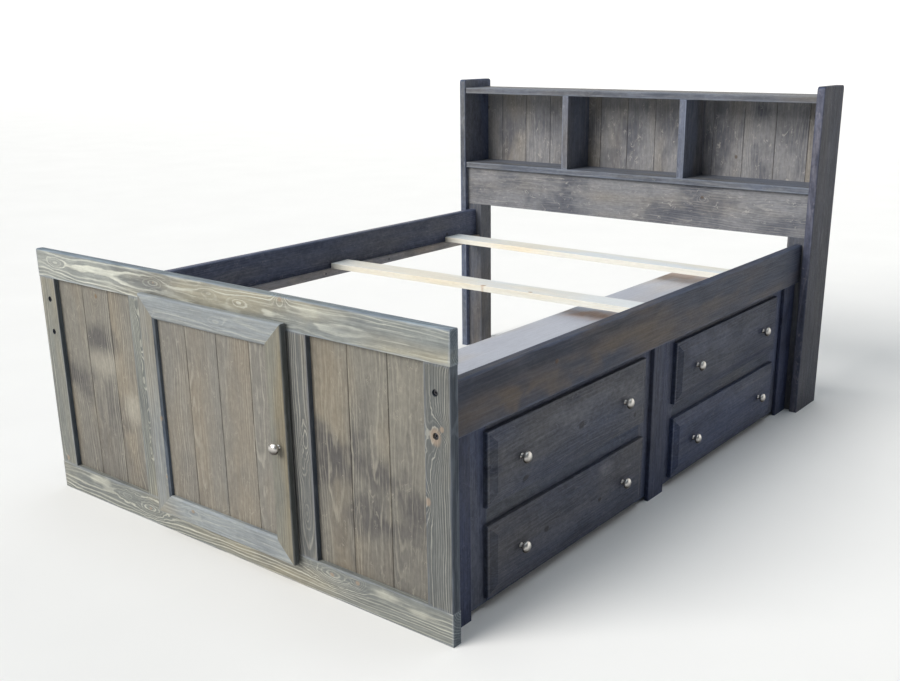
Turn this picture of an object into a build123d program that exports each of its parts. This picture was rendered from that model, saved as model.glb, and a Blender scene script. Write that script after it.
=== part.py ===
"""Captain's bed for a full-size mattress: bookcase headboard, panelled footboard with a door,
side rails with slats, and a four-drawer chest under the right-hand rail.

Frame: millimetres, +Z up, +X towards the drawer side, +Y towards the headboard.
The origin is on the floor, at the middle of the bed's overall length and width.
"""
from build123d import *
import math
import os

# ---------------------------------------------------------------- driving dimensions
# lumber
PINE_THICK = 27.0            # side boards, footboard frame
RAIL_THICK = 28.0            # side rails
SHELF_THICK = 22.0
PLANK_THICK = 12.0
PLANK_FACE = 120.0           # visible width of a tongue-and-groove plank
PLANK_GAP = 0.6              # open joint between two planks
PLANK_VEE = 1.6              # chamfer at a plank's front corners
TONGUE_SHARE = 0.3           # tongue's thickness, as a share of the plank's
TONGUE_LONG = 4.0
TONGUE_PLAY = 0.25           # groove round a tongue, each side
GROOVE_LONG = 4.5
PLY_THICK = 12.0
EDGE_EASE = 3.0              # rounding of handled edges
JOINT_EASE = 1.0             # rounding where two boards meet flush
SOFT_EASE = 2.0              # rounding of legs, posts and shelf fronts
SHEET_EASE = 1.5             # rounding of slats and plywood edges
TOP_ROUND = 6.0              # rounding along the top of the rails
OVERCUT = 1.0                # a cut runs this far past the face it opens through

# overall lengths along the bed, measured from the footboard's front face
HEAD_FRONT_AT = 1957.0       # front edge of the headboard's side boards
HEAD_DEPTH = 178.0           # depth of the side boards
KNOB_OUT = 25.0              # how far a knob stands off its face
DOOR_GAP = 2.5               # room for the hinge leaves behind the door
DOOR_THICK = 20.0

DOOR_STANDS_OUT = DOOR_GAP + DOOR_THICK + KNOB_OUT
FOOT_Y = -(HEAD_FRONT_AT + HEAD_DEPTH - DOOR_STANDS_OUT) / 2      # footboard's front face
FOOT_BACK_Y = FOOT_Y + PINE_THICK
HEAD_Y = FOOT_Y + HEAD_FRONT_AT
HEAD_BACK_Y = HEAD_Y + HEAD_DEPTH

# footboard
FOOT_HALF = 754.0
FOOT_HIGH = 730.0
FOOT_TOP_RAIL = 79.0
FOOT_BOTTOM_RAIL = 83.0
FOOT_STILE = 72.0
MULLION_OUTER = 333.0
MULLION_WIDE = 90.0
PANEL_RECESS = 14.0          # from the frame's face back to the planks
PANEL_LAP = 10.0             # planks lap behind the frame by this much
PANEL_FIRST_SEAM = 115.0     # from the mullion's outer edge to the first plank joint
PANEL_SEAMS = 2

# door
DOOR_CENTRE_X = 6.0
DOOR_WIDE = 536.0
DOOR_LOW = 60.0
DOOR_HIGH = 671.0
DOOR_MEMBER = 60.0
DOOR_PLANK_THICK = 7.0
DOOR_INNER_BEVEL = 5.0
DOOR_OUTER_ROUND = 5.0
DOOR_PANEL_LAP = 8.0
DOOR_PLANK_SHIFT = 20.0      # the door's planks are not centred in its frame
DOOR_SEAMS = 3

# hinges
HINGE_LONG = 60.0
HINGE_LEAF = 1.0
HINGE_LEAF_WIDE = 24.0
HINGE_KNUCKLE_R = 3.3
HINGE_PIN_R = 1.5
HINGE_PIN_PLAY = 0.05
HINGE_TIP_R = 2.7            # button at each end of a pin
HINGE_TIP_THICK = 1.5
HINGE_SIDE_GAP = 0.4         # knuckle to the door's edge
HINGE_FACE_GAP = 0.2         # knuckle to the footboard's face
HINGE_LEAF_SET = 0.6         # leaves start this far inside the door's edge
HINGE_HEIGHTS = (150.0, 520.0)       # lower end of each hinge
KNUCKLES = 3
KNUCKLE_GAP = 0.4
KNUCKLE_ROOT = 2.0           # a knuckle's web reaches this far inside the door's edge

# magnetic catch
CATCH_WIDE = 14.0
CATCH_HIGH = 46.0
CATCH_LOW = 400.0
CATCH_FROM = 2.0             # behind the footboard's face
CATCH_TO = 18.0

# knobs: (radius, distance from the face)
KNOB_FOOT = (9.0, 1.6)
KNOB_NECK = (5.6, 6.0)
KNOB_THROAT = (6.4, 11.5)
KNOB_WIDEST = (15.2, 16.5)
KNOB_SHOULDER = (11.5, 22.3)

# headboard
HEAD_HALF = 763.0
HEAD_HIGH = 1130.0
SHELF_BACK_SET = 6.0         # shelves start this far behind the side boards' front edge
TOP_SHELF_Z = 1076.0
BOTTOM_SHELF_Z = 776.0
HOUSING_DEEP = 8.0           # shelf ends are housed in the side boards
SIDE_TOP_ROUND = 12.0
BAYS = 3                     # open compartments in the bookcase
BACK_SEAMS = 12              # joints between the back planks
HEADER_LOW = 624.0
HEADER_THICK = 20.0
HEADER_SET = 19.0            # header and legs sit this far behind the side boards' front edge
LEG_WIDE = 66.0
LEG_DEEP = 72.0
DIVIDER_THICK = 27.0
DIVIDER_SET = 1.0            # dividers' front edge, behind the shelves'
BACK_PLANKS_AT = 161.0       # planks' front, behind the side boards' front edge

# side rails and slats
RAIL_OUTER = 725.0
RAIL_LOW = 470.0
RAIL_TOP = 602.0
LEDGER_WIDE = 20.0
LEDGER_TOP = 495.0
SLAT_WIDE = 89.0
SLAT_THICK = 19.0
SLAT_END_GAP = 3.0
SLAT_MIDDLES = (1170.0, 1805.0)      # from the footboard's front face
SLAT_TURNS = (2.0, -0.4)             # the loose slats lie a little out of square, in degrees

# fasteners
BOLT_R = 4.0
BOLT_HEAD_R = 7.4
BOLT_HEAD_THICK = 5.0
BOLT_HEAD_ROUND = 1.2
BOLT_SOCKET_R = 3.2
BOLT_SOCKET_DEEP = 3.0
BOLT_CLEARANCE = 0.3         # round the shank, in the board the bolt passes through
BOLT_FIT = 0.1               # round the shank, in the rail's end
BOLT_END_PLAY = 2.0
BOLT_POCKET_R = 8.0
BOLT_POCKET_DEEP = 9.0
BOLT_REACH = 70.0            # shank beyond the board it holds
BOLT_X = 713.0
BOLT_HEIGHTS = (492.0, 588.0)
SCREW_R = 2.0
SCREW_HEAD_R = 4.0
SCREW_TIP_R = 0.2            # a screw head's cone ends at this radius
SCREW_FIT = 0.1
SCREW_SINK_PLAY = 0.2
SCREW_SINK_ANGLE = 90.0
SCREW_REACH = 17.0           # thread beyond the ledger
SCREW_END_PLAY = 1.5
SCREW_HEIGHT = 483.0
SCREWS_ALONG = (220.0, 640.0, 1060.0, 1400.0, 1850.0)

# drawer chest
CHEST_START = 29.0           # from the footboard's front face
CHEST_LONG = 1943.0
CHEST_DEEP = 455.0
CHEST_TOP = 450.0
FACE_FRONT = 701.0           # face frame's front
FACE_THICK = 20.0
FACE_TOP = 468.0
POST_WIDE = 89.0
POST_THICK = 12.0
BASE_LIFT = 13.0             # everything but the posts clears the floor by this
SIDE_PANEL_THICK = 18.0
BACK_THICK = 12.0

# drawers
FRONT_WIDE = 730.0
FRONT_HIGH = 187.0
FRONT_EDGE = 12.0            # thickness at the rim of a drawer front
FRONT_RISE = 8.0             # height of the raised field above the rim
FRONT_BEVEL = 30.0
FIELD_INSET = 4.5            # the bevel starts this far inside the rim
FIELD_SUNK = 1.5             # and this far below it
FRONT_GAP = 0.5              # closed front to face frame
FRONT_LAP = 10.0             # front laps over the face frame's opening
ROW_LOWS = (28.0, 260.0)     # lower edge of the drawer fronts
BAY_FROM_MIDDLE = 456.0      # drawer centres from the chest's middle
KNOB_SPREAD = 241.0          # knobs from a drawer's centre
BOX_SIDE_GAP = 3.0
BOX_LIFT = 2.0
BOX_HIGH = 148.0
BOX_LONG = 411.0
BOX_WALL = 12.0
BOX_BOTTOM = 6.0
BOX_BOTTOM_LIFT = 8.0
BOX_BACK_SET = 6.0           # back wall stands this far inside the sides' ends
BOX_END_DROP = 3.0           # front and back walls are lower than the sides
GROOVE_DEEP = 5.0
GLUE_LINE = 0.2
RUNNER_LEDGE = 18.0
RUNNER_THICK = 9.0
RUNNER_WALL = 12.0
RUNNER_HIGH = 45.0
RUNNER_PLAY = 0.8            # drawer side to runner
RUNNER_DROP = 0.5            # drawer side's lower edge to ledge

# ---------------------------------------------------------------- helpers
MINS = (Align.MIN, Align.MIN, Align.MIN)
UPRIGHT = (Align.CENTER, Align.CENTER, Align.MIN)
OUTWARD = (0, -1, 0)


def block(low, high, mode=Mode.ADD):
    """A square-cornered board between two opposite corners, added to the open part."""
    size = [b - a for a, b in zip(low, high)]
    with Locations(tuple(low)):
        Box(*size, align=MINS, mode=mode)


def cut(low, high):
    """Remove everything between two opposite corners."""
    block(low, high, mode=Mode.SUBTRACT)


def save(builder, name):
    """Label a finished piece and write it to its own STEP file."""
    builder.part.label = name
    export_step(builder.part, f"parts/{name}.step")


def eased_board(low, high, along, radius):
    """A board whose four long edges are rounded."""
    with BuildPart() as board:
        block(low, high)
        fillet(board.edges().filter_by(along), radius=radius)
    return board


def plank_edges(start, end, seams):
    """Pairs of plank edges between two ends, with a seam at each given place."""
    places = [start] + [s for s in seams if start < s < end] + [end]
    return list(zip(places[:-1], places[1:]))


def tongued_plank(x0, x1, y_face, thick, low, high, tongue_side, groove_side):
    """One upright plank facing -Y, its tongue on the right and its groove on the left."""
    middle = y_face + thick / 2
    tongue = thick * TONGUE_SHARE / 2
    slot = tongue + TONGUE_PLAY
    with BuildPart() as plank:
        block((x0, y_face, low), (x1, y_face + thick, high))
        front = plank.edges().filter_by(Axis.Z).group_by(Axis.Y)[0]
        chamfer(front, length=PLANK_VEE)
        if tongue_side:
            block((x1 - OVERCUT, middle - tongue, low), (x1 + TONGUE_LONG, middle + tongue, high))
        if groove_side:
            cut((x0 - OVERCUT, middle - slot, low), (x0 + GROOVE_LONG, middle + slot, high))
    return plank


def gathered(pieces):
    """One part that holds several finished pieces, each still its own solid."""
    with BuildPart() as together:
        for piece in pieces:
            add(piece.part)
    return together


def plank_row(start, end, seams, y_face, thick, low, high):
    """Upright tongue-and-groove planks facing -Y, with a small V at each joint."""
    planks = []
    for left, right in plank_edges(start, end, seams):
        first, last = left == start, right == end
        x0 = left if first else left + PLANK_GAP / 2
        x1 = right if last else right - PLANK_GAP / 2
        planks.append(tongued_plank(x0, x1, y_face, thick, low, high, not last, not first))
    return gathered(planks)


os.makedirs("parts", exist_ok=True)

# ---------------------------------------------------------------- footboard
FOOT_RAIL_Z = FOOT_HIGH - FOOT_TOP_RAIL
STILE_INNER = FOOT_HALF - FOOT_STILE
MULLION_INNER = MULLION_OUTER - MULLION_WIDE
PANEL_Y = FOOT_Y + PANEL_RECESS
PANEL_LOW = FOOT_BOTTOM_RAIL - PANEL_LAP
PANEL_HIGH = FOOT_RAIL_Z + PANEL_LAP


def cut_panel_rabbets():
    """The step at the back of the footboard's frame that the planks lie in."""
    for side in (-1, 1):
        inner, outer = side * (MULLION_OUTER - PANEL_LAP), side * (STILE_INNER + PANEL_LAP)
        cut((min(inner, outer), PANEL_Y, PANEL_LOW),
            (max(inner, outer), FOOT_BACK_Y + OVERCUT, PANEL_HIGH))


with BuildPart() as footboard_top_rail:
    block((-FOOT_HALF, FOOT_Y, FOOT_RAIL_Z), (FOOT_HALF, FOOT_BACK_Y, FOOT_HIGH))
    fillet(footboard_top_rail.edges().filter_by(Axis.X).group_by(Axis.Z)[-1], radius=TOP_ROUND)
    fillet(footboard_top_rail.edges().filter_by(Axis.X).group_by(Axis.Z)[0], radius=JOINT_EASE)
    cut_panel_rabbets()
save(footboard_top_rail, "footboard_top_rail")

with BuildPart() as footboard_bottom_rail:
    block((-FOOT_HALF, FOOT_Y, 0), (FOOT_HALF, FOOT_BACK_Y, FOOT_BOTTOM_RAIL))
    fillet(footboard_bottom_rail.edges().filter_by(Axis.X), radius=JOINT_EASE)
    cut_panel_rabbets()
save(footboard_bottom_rail, "footboard_bottom_rail")


def bolt_pocket(x, y_face, z, through):
    """A counterbored bolt hole whose mouth faces -Y."""
    with Locations(Plane((x, y_face, z), z_dir=OUTWARD)):
        CounterBoreHole(radius=BOLT_R + BOLT_CLEARANCE, counter_bore_radius=BOLT_POCKET_R,
                        counter_bore_depth=BOLT_POCKET_DEEP, depth=through)


def footboard_stile(side):
    """An outer stile of the footboard, with its two bolt holes."""
    inner, outer = side * STILE_INNER, side * FOOT_HALF
    with BuildPart() as stile:
        block((min(inner, outer), FOOT_Y, FOOT_BOTTOM_RAIL),
              (max(inner, outer), FOOT_BACK_Y, FOOT_RAIL_Z))
        upright = stile.edges().filter_by(Axis.Z).sort_by(Axis.X)
        outside = upright[-2:] if side > 0 else upright[:2]
        inside = upright[:2] if side > 0 else upright[-2:]
        fillet(outside, radius=EDGE_EASE)
        fillet(inside, radius=JOINT_EASE)
        cut_panel_rabbets()
        for z in BOLT_HEIGHTS:
            bolt_pocket(side * BOLT_X, FOOT_Y, z, PINE_THICK)
    return stile


def footboard_mullion(side):
    """An inner upright of the footboard, between the door opening and a plank panel."""
    inner, outer = side * MULLION_INNER, side * MULLION_OUTER
    with BuildPart() as mullion:
        block((min(inner, outer), FOOT_Y, FOOT_BOTTOM_RAIL),
              (max(inner, outer), FOOT_BACK_Y, FOOT_RAIL_Z))
        fillet(mullion.edges().filter_by(Axis.Z), radius=JOINT_EASE)
        cut_panel_rabbets()
    return mullion


for side, word in ((-1, "left"), (1, "right")):
    save(footboard_stile(side), f"footboard_{word}_stile")
    save(footboard_mullion(side), f"footboard_{word}_mullion")
    ends = sorted((side * (MULLION_OUTER - PANEL_LAP), side * (STILE_INNER + PANEL_LAP)))
    first_seam = MULLION_OUTER + PANEL_FIRST_SEAM
    seams = sorted(side * (first_seam + i * PLANK_FACE) for i in range(PANEL_SEAMS))
    planks = plank_row(ends[0], ends[1], seams, PANEL_Y, PLANK_THICK, PANEL_LOW, PANEL_HIGH)
    save(planks, f"footboard_{word}_planks")

# ---------------------------------------------------------------- door
DOOR_LEFT = DOOR_CENTRE_X - DOOR_WIDE / 2
DOOR_RIGHT = DOOR_CENTRE_X + DOOR_WIDE / 2
DOOR_BACK_Y = FOOT_Y - DOOR_GAP
DOOR_FRONT_Y = DOOR_BACK_Y - DOOR_THICK
DOOR_PANEL_LOW = DOOR_LOW + DOOR_MEMBER - DOOR_PANEL_LAP
DOOR_PANEL_HIGH = DOOR_HIGH - DOOR_MEMBER + DOOR_PANEL_LAP
DOOR_PANEL_LEFT = DOOR_LEFT + DOOR_MEMBER - DOOR_PANEL_LAP
DOOR_PANEL_RIGHT = DOOR_RIGHT - DOOR_MEMBER + DOOR_PANEL_LAP
DOOR_CORNERS = ((DOOR_LEFT, DOOR_LOW), (DOOR_RIGHT, DOOR_LOW),
                (DOOR_RIGHT, DOOR_HIGH), (DOOR_LEFT, DOOR_HIGH))
DOOR_INNER = ((DOOR_LEFT + DOOR_MEMBER, DOOR_LOW + DOOR_MEMBER),
              (DOOR_RIGHT - DOOR_MEMBER, DOOR_LOW + DOOR_MEMBER),
              (DOOR_RIGHT - DOOR_MEMBER, DOOR_HIGH - DOOR_MEMBER),
              (DOOR_LEFT + DOOR_MEMBER, DOOR_HIGH - DOOR_MEMBER))
DOOR_FACE = Plane((0, DOOR_FRONT_Y, 0), x_dir=(1, 0, 0), z_dir=OUTWARD)


def door_member(index):
    """One side of the mitred door frame: 0 bottom, 1 right, 2 top, 3 left."""
    nxt = (index + 1) % len(DOOR_CORNERS)
    outline = [DOOR_CORNERS[index], DOOR_CORNERS[nxt], DOOR_INNER[nxt], DOOR_INNER[index]]
    with BuildPart() as member:
        with BuildSketch(DOOR_FACE):
            with BuildLine():
                Polyline(*outline, close=True)
            make_face()
        extrude(amount=-DOOR_THICK)
        along = Axis.X if index in (0, 2) else Axis.Z
        across = Axis.Z if index in (0, 2) else Axis.X
        outer_last = index in (1, 2)
        rows = member.edges().filter_by(along).group_by(across)
        outer = rows[-1] if outer_last else rows[0]
        inner = rows[0] if outer_last else rows[-1]
        fillet(outer, radius=DOOR_OUTER_ROUND)
        chamfer(inner.sort_by(Axis.Y)[0], length=DOOR_INNER_BEVEL)
        cut((DOOR_PANEL_LEFT, DOOR_BACK_Y - DOOR_PLANK_THICK, DOOR_PANEL_LOW),
            (DOOR_PANEL_RIGHT, DOOR_BACK_Y + OVERCUT, DOOR_PANEL_HIGH))
    return member


DOOR_NAMES = ("door_bottom_rail", "door_right_stile", "door_top_rail", "door_left_stile")
for index, name in enumerate(DOOR_NAMES):
    save(door_member(index), name)

door_first_seam = DOOR_CENTRE_X + DOOR_PLANK_SHIFT - PLANK_FACE
door_seams = [door_first_seam + i * PLANK_FACE for i in range(DOOR_SEAMS)]
door_planks = plank_row(DOOR_PANEL_LEFT, DOOR_PANEL_RIGHT, door_seams,
                        DOOR_BACK_Y - DOOR_PLANK_THICK, DOOR_PLANK_THICK,
                        DOOR_PANEL_LOW, DOOR_PANEL_HIGH)
save(door_planks, "door_planks")


def knob_on(plane):
    """A turned metal knob standing on the face that the plane lies in."""
    foot, neck, throat, widest, shoulder = [
        (radius, -out) for radius, out in (KNOB_FOOT, KNOB_NECK, KNOB_THROAT, KNOB_WIDEST, KNOB_SHOULDER)]
    crown = (0, -KNOB_OUT)
    with BuildPart() as knob:
        with BuildSketch(Plane(plane.origin, x_dir=plane.x_dir, z_dir=plane.y_dir)):
            with BuildLine():
                Line((0, 0), (foot[0], 0))
                Line((foot[0], 0), foot)
                Spline(foot, neck, throat, tangents=((-1, -0.6), (0.5, -1)))
                Spline(throat, widest, shoulder, crown, tangents=((1, -0.35), (-1, 0)))
                Line(crown, (0, 0))
            make_face()
        revolve(axis=Axis(plane.origin, plane.z_dir), revolution_arc=360)
    return knob


door_knob_at = (DOOR_RIGHT - DOOR_MEMBER / 2, DOOR_FRONT_Y, (DOOR_LOW + DOOR_HIGH) / 2)
save(knob_on(Plane(door_knob_at, x_dir=(1, 0, 0), z_dir=OUTWARD)), "door_knob")

# hinges: the knuckle stands beside the door's left edge
HINGE_X = DOOR_LEFT - HINGE_KNUCKLE_R - HINGE_SIDE_GAP
HINGE_Y = FOOT_Y - HINGE_KNUCKLE_R - HINGE_FACE_GAP


def knuckle_spans(bottom, door_side):
    """Height ranges of the knuckles on one leaf: the door has the middle one."""
    step = HINGE_LONG / KNUCKLES
    gap = KNUCKLE_GAP / 2
    picked = range(1 if door_side else 0, KNUCKLES, 2)
    return [(bottom + i * step + gap, bottom + (i + 1) * step - gap) for i in picked]


def hinge_leaves(door_side):
    """The two leaves on one side of the door's hinges, with their knuckles."""
    leaf_y = DOOR_BACK_Y if door_side else FOOT_Y - HINGE_LEAF
    with BuildPart() as leaves:
        for bottom in HINGE_HEIGHTS:
            spans = knuckle_spans(bottom, door_side)
            block((DOOR_LEFT + HINGE_LEAF_SET, leaf_y, bottom),
                  (DOOR_LEFT + HINGE_LEAF_WIDE, leaf_y + HINGE_LEAF, bottom + HINGE_LONG))
            for low, high in spans:
                with Locations((HINGE_X, HINGE_Y, low)):
                    Cylinder(HINGE_KNUCKLE_R, high - low, align=UPRIGHT)
                block((HINGE_X, leaf_y, low), (DOOR_LEFT + KNUCKLE_ROOT, leaf_y + HINGE_LEAF, high))
            for low, high in spans:
                with Locations((HINGE_X, HINGE_Y, low - OVERCUT)):
                    Cylinder(HINGE_PIN_R + HINGE_PIN_PLAY, high - low + 2 * OVERCUT,
                             align=UPRIGHT, mode=Mode.SUBTRACT)
    return leaves


save(hinge_leaves(True), "door_hinge_leaves")
save(hinge_leaves(False), "frame_hinge_leaves")

with BuildPart() as hinge_pins:
    for bottom in HINGE_HEIGHTS:
        with Locations((HINGE_X, HINGE_Y, bottom)):
            Cylinder(HINGE_PIN_R, HINGE_LONG, align=UPRIGHT)
        with Locations((HINGE_X, HINGE_Y, bottom - HINGE_TIP_THICK),
                       (HINGE_X, HINGE_Y, bottom + HINGE_LONG)):
            Cylinder(HINGE_TIP_R, HINGE_TIP_THICK, align=UPRIGHT)
save(hinge_pins, "hinge_pins")

# magnetic catch screwed to the right mullion's edge, behind the door
with BuildPart() as door_catch:
    block((MULLION_INNER - CATCH_WIDE, FOOT_Y + CATCH_FROM, CATCH_LOW),
          (MULLION_INNER, FOOT_Y + CATCH_TO, CATCH_LOW + CATCH_HIGH))
    fillet(door_catch.edges().filter_by(Axis.Z), radius=SOFT_EASE)
save(door_catch, "door_catch")

# ---------------------------------------------------------------- headboard
SIDE_INNER = HEAD_HALF - PINE_THICK
SHELF_Y = HEAD_Y + SHELF_BACK_SET
BACK_PLANK_Y = HEAD_Y + BACK_PLANKS_AT
HEADER_Y = HEAD_Y + HEADER_SET
BAY_WIDE = (2 * SIDE_INNER - (BAYS - 1) * DIVIDER_THICK) / BAYS
DIVIDER_MIDDLE = (BAY_WIDE + DIVIDER_THICK) / 2


def head_side(side):
    """A full-height side board, housed for the shelves and stepped for the back planks."""
    inner, outer = side * SIDE_INNER, side * HEAD_HALF
    x0, x1 = min(inner, outer), max(inner, outer)
    h0, h1 = sorted((side * (SIDE_INNER - OVERCUT), side * (SIDE_INNER + HOUSING_DEEP)))
    with BuildPart() as board:
        block((x0, HEAD_Y, 0), (x1, HEAD_BACK_Y, HEAD_HIGH))
        top_corners = board.edges().filter_by(Axis.X).group_by(Axis.Z)[-1]
        fillet(top_corners, radius=SIDE_TOP_ROUND)
        fillet(board.edges().filter_by(Axis.Z), radius=EDGE_EASE)
        cut((h0, SHELF_Y, TOP_SHELF_Z), (h1, BACK_PLANK_Y + PLANK_THICK, TOP_SHELF_Z + SHELF_THICK))
        cut((h0, SHELF_Y, BOTTOM_SHELF_Z), (h1, BACK_PLANK_Y, BOTTOM_SHELF_Z + SHELF_THICK))
        cut((h0, BACK_PLANK_Y, BOTTOM_SHELF_Z), (h1, BACK_PLANK_Y + PLANK_THICK, TOP_SHELF_Z))
    return board


save(head_side(-1), "headboard_left_side")
save(head_side(1), "headboard_right_side")


def shelf(low, back_y):
    """A shelf with rounded front edges, its ends housed in the side boards."""
    reach = SIDE_INNER + HOUSING_DEEP
    with BuildPart() as board:
        block((-reach, SHELF_Y, low), (reach, back_y, low + SHELF_THICK))
        fillet(board.edges().filter_by(Axis.X).group_by(Axis.Y)[0], radius=SOFT_EASE)
    return board


save(shelf(TOP_SHELF_Z, BACK_PLANK_Y + PLANK_THICK), "headboard_top_shelf")
save(shelf(BOTTOM_SHELF_Z, BACK_PLANK_Y), "headboard_bottom_shelf")

with BuildPart() as headboard_dividers:
    for middle in (-DIVIDER_MIDDLE, DIVIDER_MIDDLE):
        block((middle - DIVIDER_THICK / 2, SHELF_Y + DIVIDER_SET, BOTTOM_SHELF_Z + SHELF_THICK),
              (middle + DIVIDER_THICK / 2, BACK_PLANK_Y, TOP_SHELF_Z))
    fillet(headboard_dividers.edges().filter_by(Axis.Z).group_by(Axis.Y)[0], radius=SOFT_EASE)
save(headboard_dividers, "headboard_dividers")

back_reach = SIDE_INNER + HOUSING_DEEP
back_seams = [PLANK_FACE * (i - (BACK_SEAMS - 1) / 2) for i in range(BACK_SEAMS)]
headboard_back_planks = plank_row(-back_reach, back_reach, back_seams, BACK_PLANK_Y, PLANK_THICK,
                                  BOTTOM_SHELF_Z, TOP_SHELF_Z)
save(headboard_back_planks, "headboard_back_planks")

headboard_header = eased_board((-SIDE_INNER, HEADER_Y, HEADER_LOW),
                               (SIDE_INNER, HEADER_Y + HEADER_THICK, BOTTOM_SHELF_Z), Axis.X, JOINT_EASE)
save(headboard_header, "headboard_header")


def head_leg(side):
    """A leg inside a side board, notched so that the header lies flush with its face."""
    inner, outer = side * (SIDE_INNER - LEG_WIDE), side * SIDE_INNER
    x0, x1 = min(inner, outer), max(inner, outer)
    with BuildPart() as leg:
        block((x0, HEADER_Y, 0), (x1, HEADER_Y + LEG_DEEP, BOTTOM_SHELF_Z))
        fillet(leg.edges().filter_by(Axis.Z), radius=SOFT_EASE)
        cut((x0 - OVERCUT, HEADER_Y - OVERCUT, HEADER_LOW),
            (x1 + OVERCUT, HEADER_Y + HEADER_THICK, BOTTOM_SHELF_Z + OVERCUT))
        for z in BOLT_HEIGHTS:
            with Locations(Plane((side * BOLT_X, HEADER_Y + LEG_DEEP, z), z_dir=(0, 1, 0))):
                CounterBoreHole(radius=BOLT_R + BOLT_CLEARANCE, counter_bore_radius=BOLT_POCKET_R,
                                counter_bore_depth=BOLT_POCKET_DEEP, depth=LEG_DEEP)
    return leg


save(head_leg(-1), "headboard_left_leg")
save(head_leg(1), "headboard_right_leg")

# ---------------------------------------------------------------- side rails, ledgers, slats
RAIL_INNER = RAIL_OUTER - RAIL_THICK
LEDGER_INNER = RAIL_INNER - LEDGER_WIDE
LEDGER_END_GAP = 1.0


def side_rail(side):
    """A side rail with round top edges and bolt holes in both ends."""
    inner, outer = side * RAIL_INNER, side * RAIL_OUTER
    with BuildPart() as rail:
        block((min(inner, outer), FOOT_BACK_Y, RAIL_LOW), (max(inner, outer), HEADER_Y, RAIL_TOP))
        fillet(rail.edges().filter_by(Axis.Y).group_by(Axis.Z)[-1], radius=TOP_ROUND)
        fillet(rail.edges().filter_by(Axis.Y).group_by(Axis.Z)[0], radius=EDGE_EASE)
        for z in BOLT_HEIGHTS:
            with Locations(Plane((side * BOLT_X, FOOT_BACK_Y, z), z_dir=OUTWARD),
                           Plane((side * BOLT_X, HEADER_Y, z), z_dir=(0, 1, 0))):
                Hole(radius=BOLT_R + BOLT_FIT, depth=BOLT_REACH + BOLT_END_PLAY)
        for along in SCREWS_ALONG:
            with Locations(Plane((inner, FOOT_Y + along, SCREW_HEIGHT), z_dir=(-side, 0, 0))):
                Hole(radius=SCREW_R + SCREW_FIT, depth=SCREW_REACH + SCREW_END_PLAY)
    return rail


save(side_rail(1), "right_side_rail")
save(side_rail(-1), "left_side_rail")


with BuildPart() as ledger_strips:
    for side in (-1, 1):
        inner, outer = side * LEDGER_INNER, side * RAIL_INNER
        block((min(inner, outer), FOOT_BACK_Y + LEDGER_END_GAP, RAIL_LOW),
              (max(inner, outer), HEADER_Y - LEDGER_END_GAP, LEDGER_TOP))
    fillet(ledger_strips.edges().filter_by(Axis.Y), radius=JOINT_EASE)
    for side in (-1, 1):
        for along in SCREWS_ALONG:
            mouth = (side * LEDGER_INNER, FOOT_Y + along, SCREW_HEIGHT)
            with Locations(Plane(mouth, z_dir=(-side, 0, 0))):
                CounterSinkHole(radius=SCREW_R + SCREW_FIT, depth=LEDGER_WIDE,
                                counter_sink_radius=SCREW_HEAD_R + SCREW_SINK_PLAY,
                                counter_sink_angle=SCREW_SINK_ANGLE)
save(ledger_strips, "ledger_strips")

for number, (middle, turn) in enumerate(zip(SLAT_MIDDLES, SLAT_TURNS), start=1):
    angle = math.radians(turn)
    half = RAIL_INNER - SLAT_END_GAP - SLAT_WIDE / 2 * math.sin(abs(angle))
    lying = Plane((0, FOOT_Y + middle, LEDGER_TOP), x_dir=(math.cos(angle), math.sin(angle), 0),
                  z_dir=(0, 0, 1))
    with BuildPart() as slat:
        with BuildSketch(lying):
            Rectangle(2 * half, SLAT_WIDE)
        extrude(amount=SLAT_THICK)
        fillet(slat.faces().sort_by(Axis.Z)[-1].edges(), radius=SHEET_EASE)
    save(slat, f"slat_{number}")

# ---------------------------------------------------------------- bolts and screws


def bolt(x, y_head, z, direction, board):
    """A recessed bolt: a round head in its pocket and a shank through the board into the rail."""
    inward = (0, direction, 0)
    seat = Plane((x, y_head + direction * BOLT_POCKET_DEEP, z), z_dir=inward)
    with BuildPart() as one:
        with BuildSketch(seat):
            Circle(BOLT_HEAD_R)
        extrude(amount=-BOLT_HEAD_THICK)
        rims = one.edges().filter_by(GeomType.CIRCLE).sort_by(Axis((0, 0, 0), inward))
        fillet(rims[0], radius=BOLT_HEAD_ROUND)
        with BuildSketch(seat):
            Circle(BOLT_R)
        extrude(amount=board - BOLT_POCKET_DEEP + BOLT_REACH)
        with BuildSketch(seat.offset(-BOLT_HEAD_THICK)):
            RegularPolygon(radius=BOLT_SOCKET_R, side_count=6)
        extrude(amount=BOLT_SOCKET_DEEP, mode=Mode.SUBTRACT)
    return one


bolts = []
for side in (-1, 1):
    for z in BOLT_HEIGHTS:
        bolts.append(bolt(side * BOLT_X, FOOT_Y, z, 1, PINE_THICK))
        bolts.append(bolt(side * BOLT_X, HEADER_Y + LEG_DEEP, z, -1, LEG_DEEP))
save(gathered(bolts), "rail_bolts")

with BuildPart() as ledger_screws:
    for side in (-1, 1):
        for along in SCREWS_ALONG:
            head = Plane((side * LEDGER_INNER, FOOT_Y + along, SCREW_HEIGHT), z_dir=(side, 0, 0))
            with BuildSketch(head):
                Circle(SCREW_R)
            extrude(amount=LEDGER_WIDE + SCREW_REACH)
            with Locations(Location(head) * Location((0, 0, SCREW_HEAD_R / 2))):
                Cone(SCREW_HEAD_R, SCREW_TIP_R, SCREW_HEAD_R)
save(ledger_screws, "ledger_screws")

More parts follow.
